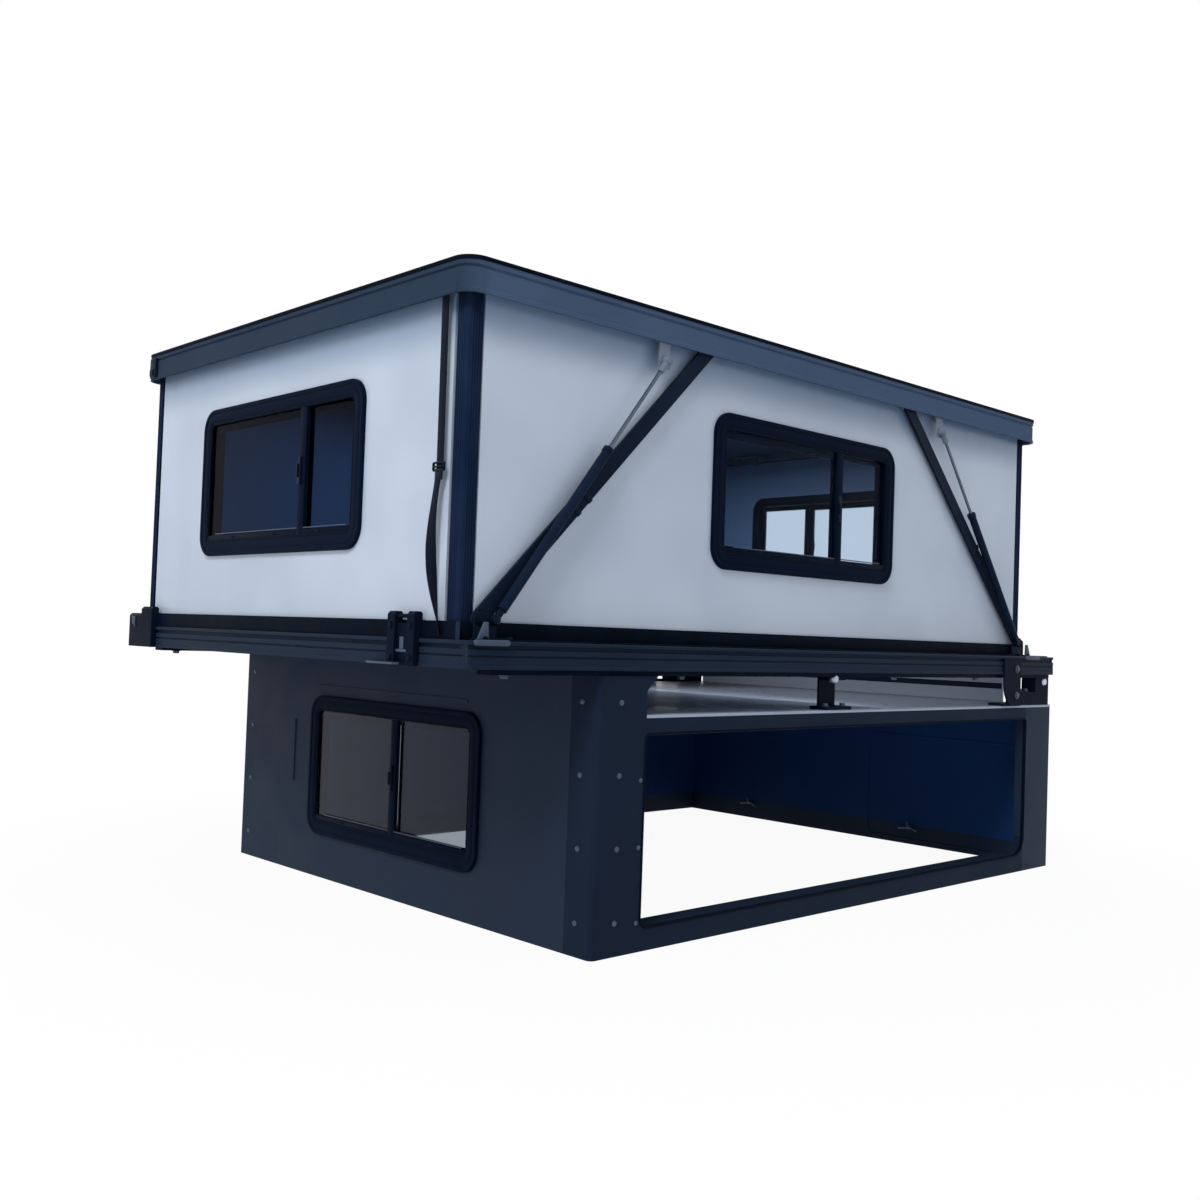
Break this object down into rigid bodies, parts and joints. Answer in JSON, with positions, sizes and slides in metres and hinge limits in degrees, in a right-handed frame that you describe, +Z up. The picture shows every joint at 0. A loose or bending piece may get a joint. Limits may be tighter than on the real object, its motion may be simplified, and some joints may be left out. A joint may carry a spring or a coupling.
{
  "type": "rooftop tent",
  "caption": "Pickup-bed canopy with a hard-walled pop-up tent on top: a grooved tray, folding wall panels with sliding windows, corner seals and a flat roof on scissor arms and gas struts.",
  "frame": {"origin": "middle of the canopy's footprint on the bed rails, at the bottom of its posts and sills", "axes": "+X towards the rear of the vehicle, +Y across it away from the side opening, +Z up"},
  "size_m": [2.2, 1.446, 1.318],
  "materials": {
    "shell": "textured charcoal powder coat",
    "deck_sheet": "grey powder coat",
    "tray": "satin black powder coat",
    "bracket": "black powder coat",
    "floor_panel": "plain composite panel",
    "wall": "smooth pale composite skin",
    "window_frame": "satin black",
    "glass": "tinted glass",
    "seal": "ribbed black rubber",
    "roof": "textured charcoal powder coat",
    "arm": "satin black",
    "rod": "polished",
    "alloy": "natural anodised",
    "webbing": "woven webbing",
    "buckle": "moulded"
  },
  "bodies": {
    "tent_base": {"canopy_post_front_near": "shell", "canopy_post_front_far": "shell", "canopy_post_rear_near": "shell", "canopy_post_rear_far": "shell", "canopy_near_sill": "shell", "canopy_near_header": "shell", "canopy_far_wall": "shell", "canopy_front_wall": "shell", "canopy_rear_wall": "shell", "canopy_roof": "deck_sheet", "rear_riser": "deck_sheet", "canopy_window_frame": "window_frame", "canopy_window_glass": "glass", "mount_brackets": "bracket", "tray_rail_near": "tray", "tray_rail_far": "tray", "tray_rail_front": "tray", "tray_rail_rear": "tray", "tray_floor": "floor_panel", "tray_bearers": "bracket", "corner_seals": "seal", "wall_hinges": "alloy", "roof_frame": "alloy", "roof_panel": "roof", "roof_rim": "roof", "lift_arms": "arm", "arm_base_brackets": "alloy", "arm_top_fittings": "alloy", "gas_cylinders": "arm", "gas_rods": "rod", "front_latch": "bracket", "strap": "webbing", "strap_buckle": "buckle"},
    "near_wall": {"wall_near": "wall", "window_frame_near": "window_frame", "window_glass_near": "glass"},
    "far_wall": {"wall_far": "wall", "window_frame_far": "window_frame", "window_glass_far": "glass"},
    "front_wall": {"wall_front": "wall", "window_frame_front": "window_frame", "window_glass_front": "glass"},
    "rear_wall": {"wall_rear": "wall", "window_frame_rear": "window_frame", "window_glass_rear": "glass"}
  },
  "joints": [
    {"name": "near_wall_fold", "type": "hinge", "parent": "tent_base", "child": "near_wall", "pos_m": [-0.038, -0.627, 0.651], "axis": [-1, 0, 0], "range_deg": [0, 90]},
    {"name": "far_wall_fold", "type": "hinge", "parent": "tent_base", "child": "far_wall", "pos_m": [-0.038, 0.627, 0.651], "axis": [1, 0, 0], "range_deg": [0, 90]},
    {"name": "front_wall_swing", "type": "hinge", "parent": "tent_base", "child": "front_wall", "pos_m": [-1.042, 0, 1.2555], "axis": [0, -1, 0], "range_deg": [0, 90]},
    {"name": "rear_wall_swing", "type": "hinge", "parent": "tent_base", "child": "rear_wall", "pos_m": [0.966, 0, 1.2555], "axis": [0, 1, 0], "range_deg": [0, 90]}
  ]
}
